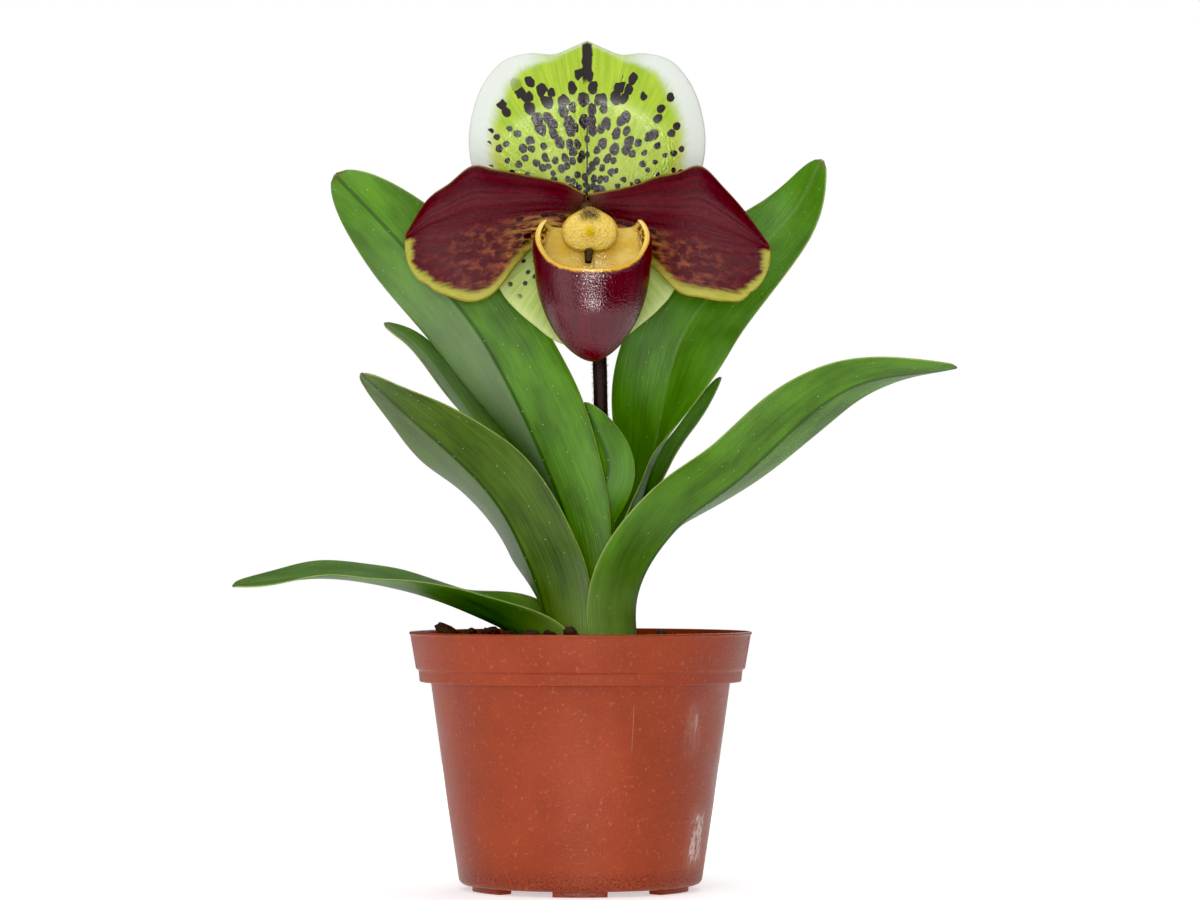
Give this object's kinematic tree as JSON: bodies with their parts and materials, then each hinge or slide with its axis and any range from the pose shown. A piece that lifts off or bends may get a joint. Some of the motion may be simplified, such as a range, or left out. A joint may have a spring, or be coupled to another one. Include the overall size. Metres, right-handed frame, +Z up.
{
  "type": "potted slipper orchid",
  "caption": "Potted slipper orchid: a fan of strap leaves and one spotted, maroon-petalled flower with a pouch, in a stepped-collar nursery pot.",
  "frame": {"origin": "on the ground, on the pot's axis, at the middle of the flat disc under the pot", "axes": "+Z up; -Y the side that the flower faces; +X to the right when the flower is seen from in front"},
  "size_m": [0.2512, 0.1198, 0.2944],
  "materials": {
    "terracotta_plastic": "moulded plastic with a fine grain, worn and stained",
    "bark_mix": "rough, dark, damp bark",
    "crown_tissue": "matte plant tissue",
    "leaf_green": "waxy leaf with a soft sheen",
    "stem_purple": "matte and finely hairy",
    "ovary_green": "matte and finely hairy",
    "bract_green": "matte plant tissue",
    "sepal_green": "glossy and waxy, spotted",
    "sepal_pale": "glossy and waxy",
    "petal_maroon": "glossy and waxy, veined",
    "lip_maroon": "high gloss",
    "column_yellow": "glossy and warty"
  },
  "bodies": {
    "root": {"pot": "terracotta_plastic", "potting_mix": "bark_mix", "crown": "crown_tissue", "leaf_left_low": "leaf_green", "leaf_left_front": "leaf_green", "leaf_left_tall": "leaf_green", "leaf_left_back": "leaf_green", "leaf_centre_young": "leaf_green", "leaf_right_tall": "leaf_green", "leaf_right_low": "leaf_green", "leaf_right_back": "leaf_green", "flower_stem": "stem_purple", "ovary": "ovary_green", "bract": "bract_green", "dorsal_sepal": "sepal_green", "ventral_sepal": "sepal_pale", "petal_left": "petal_maroon", "petal_right": "petal_maroon", "lip_pouch": "lip_maroon", "column": "column_yellow"}
  },
  "joints": []
}
